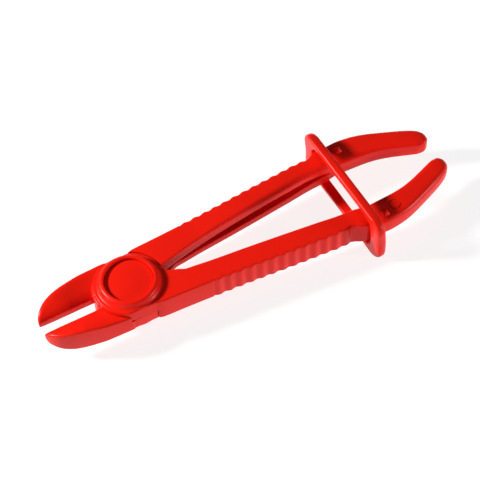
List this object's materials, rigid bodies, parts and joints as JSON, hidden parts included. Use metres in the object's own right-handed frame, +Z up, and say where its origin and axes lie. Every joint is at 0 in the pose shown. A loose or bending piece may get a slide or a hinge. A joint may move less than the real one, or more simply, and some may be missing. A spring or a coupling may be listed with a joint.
{
  "type": "hose clamping pliers",
  "caption": "Plastic hose pinch-off pliers: lapped arms on a riveted pivot, scalloped grips and a sliding loop that locks the handles.",
  "frame": {"origin": "pivot axis, at the lower end face of the pivot rivet", "axes": "+X towards the handle ends (jaws at -X), +Y to the arm whose eye is underneath, +Z up along the pivot axis"},
  "size_m": [0.1881, 0.0612, 0.0267],
  "materials": {
    "arm_plastic": "moulded satin gloss",
    "pivot_plastic": "moulded satin gloss",
    "loop_plastic": "moulded gloss"
  },
  "bodies": {
    "pivot": {"pivot_rivet": "pivot_plastic", "pivot_retainer": "pivot_plastic"},
    "back_arm": {"arm_back": "arm_plastic"},
    "front_arm": {"arm_front": "arm_plastic"},
    "loop": {"lock_loop": "loop_plastic"}
  },
  "joints": [
    {"name": "loop_slide", "type": "slide", "parent": "pivot", "child": "loop", "axis": [-1, 0, 0], "range_m": [0, 0.0702]},
    {"name": "back_arm_opening", "type": "hinge", "parent": "pivot", "child": "back_arm", "pos_m": [0, 0, 0.00925], "axis": [0, 0, 1], "range_deg": [0, 6.6]},
    {"name": "front_arm_opening", "type": "hinge", "parent": "pivot", "child": "front_arm", "pos_m": [0, 0, 0.00925], "axis": [0, 0, 1], "range_deg": [-6.6, 0]}
  ],
  "couplings": [
    {"joint": "back_arm_opening", "follows": "loop_slide", "rad_per_m": 1.6393},
    {"joint": "front_arm_opening", "follows": "loop_slide", "rad_per_m": -1.6393}
  ]
}
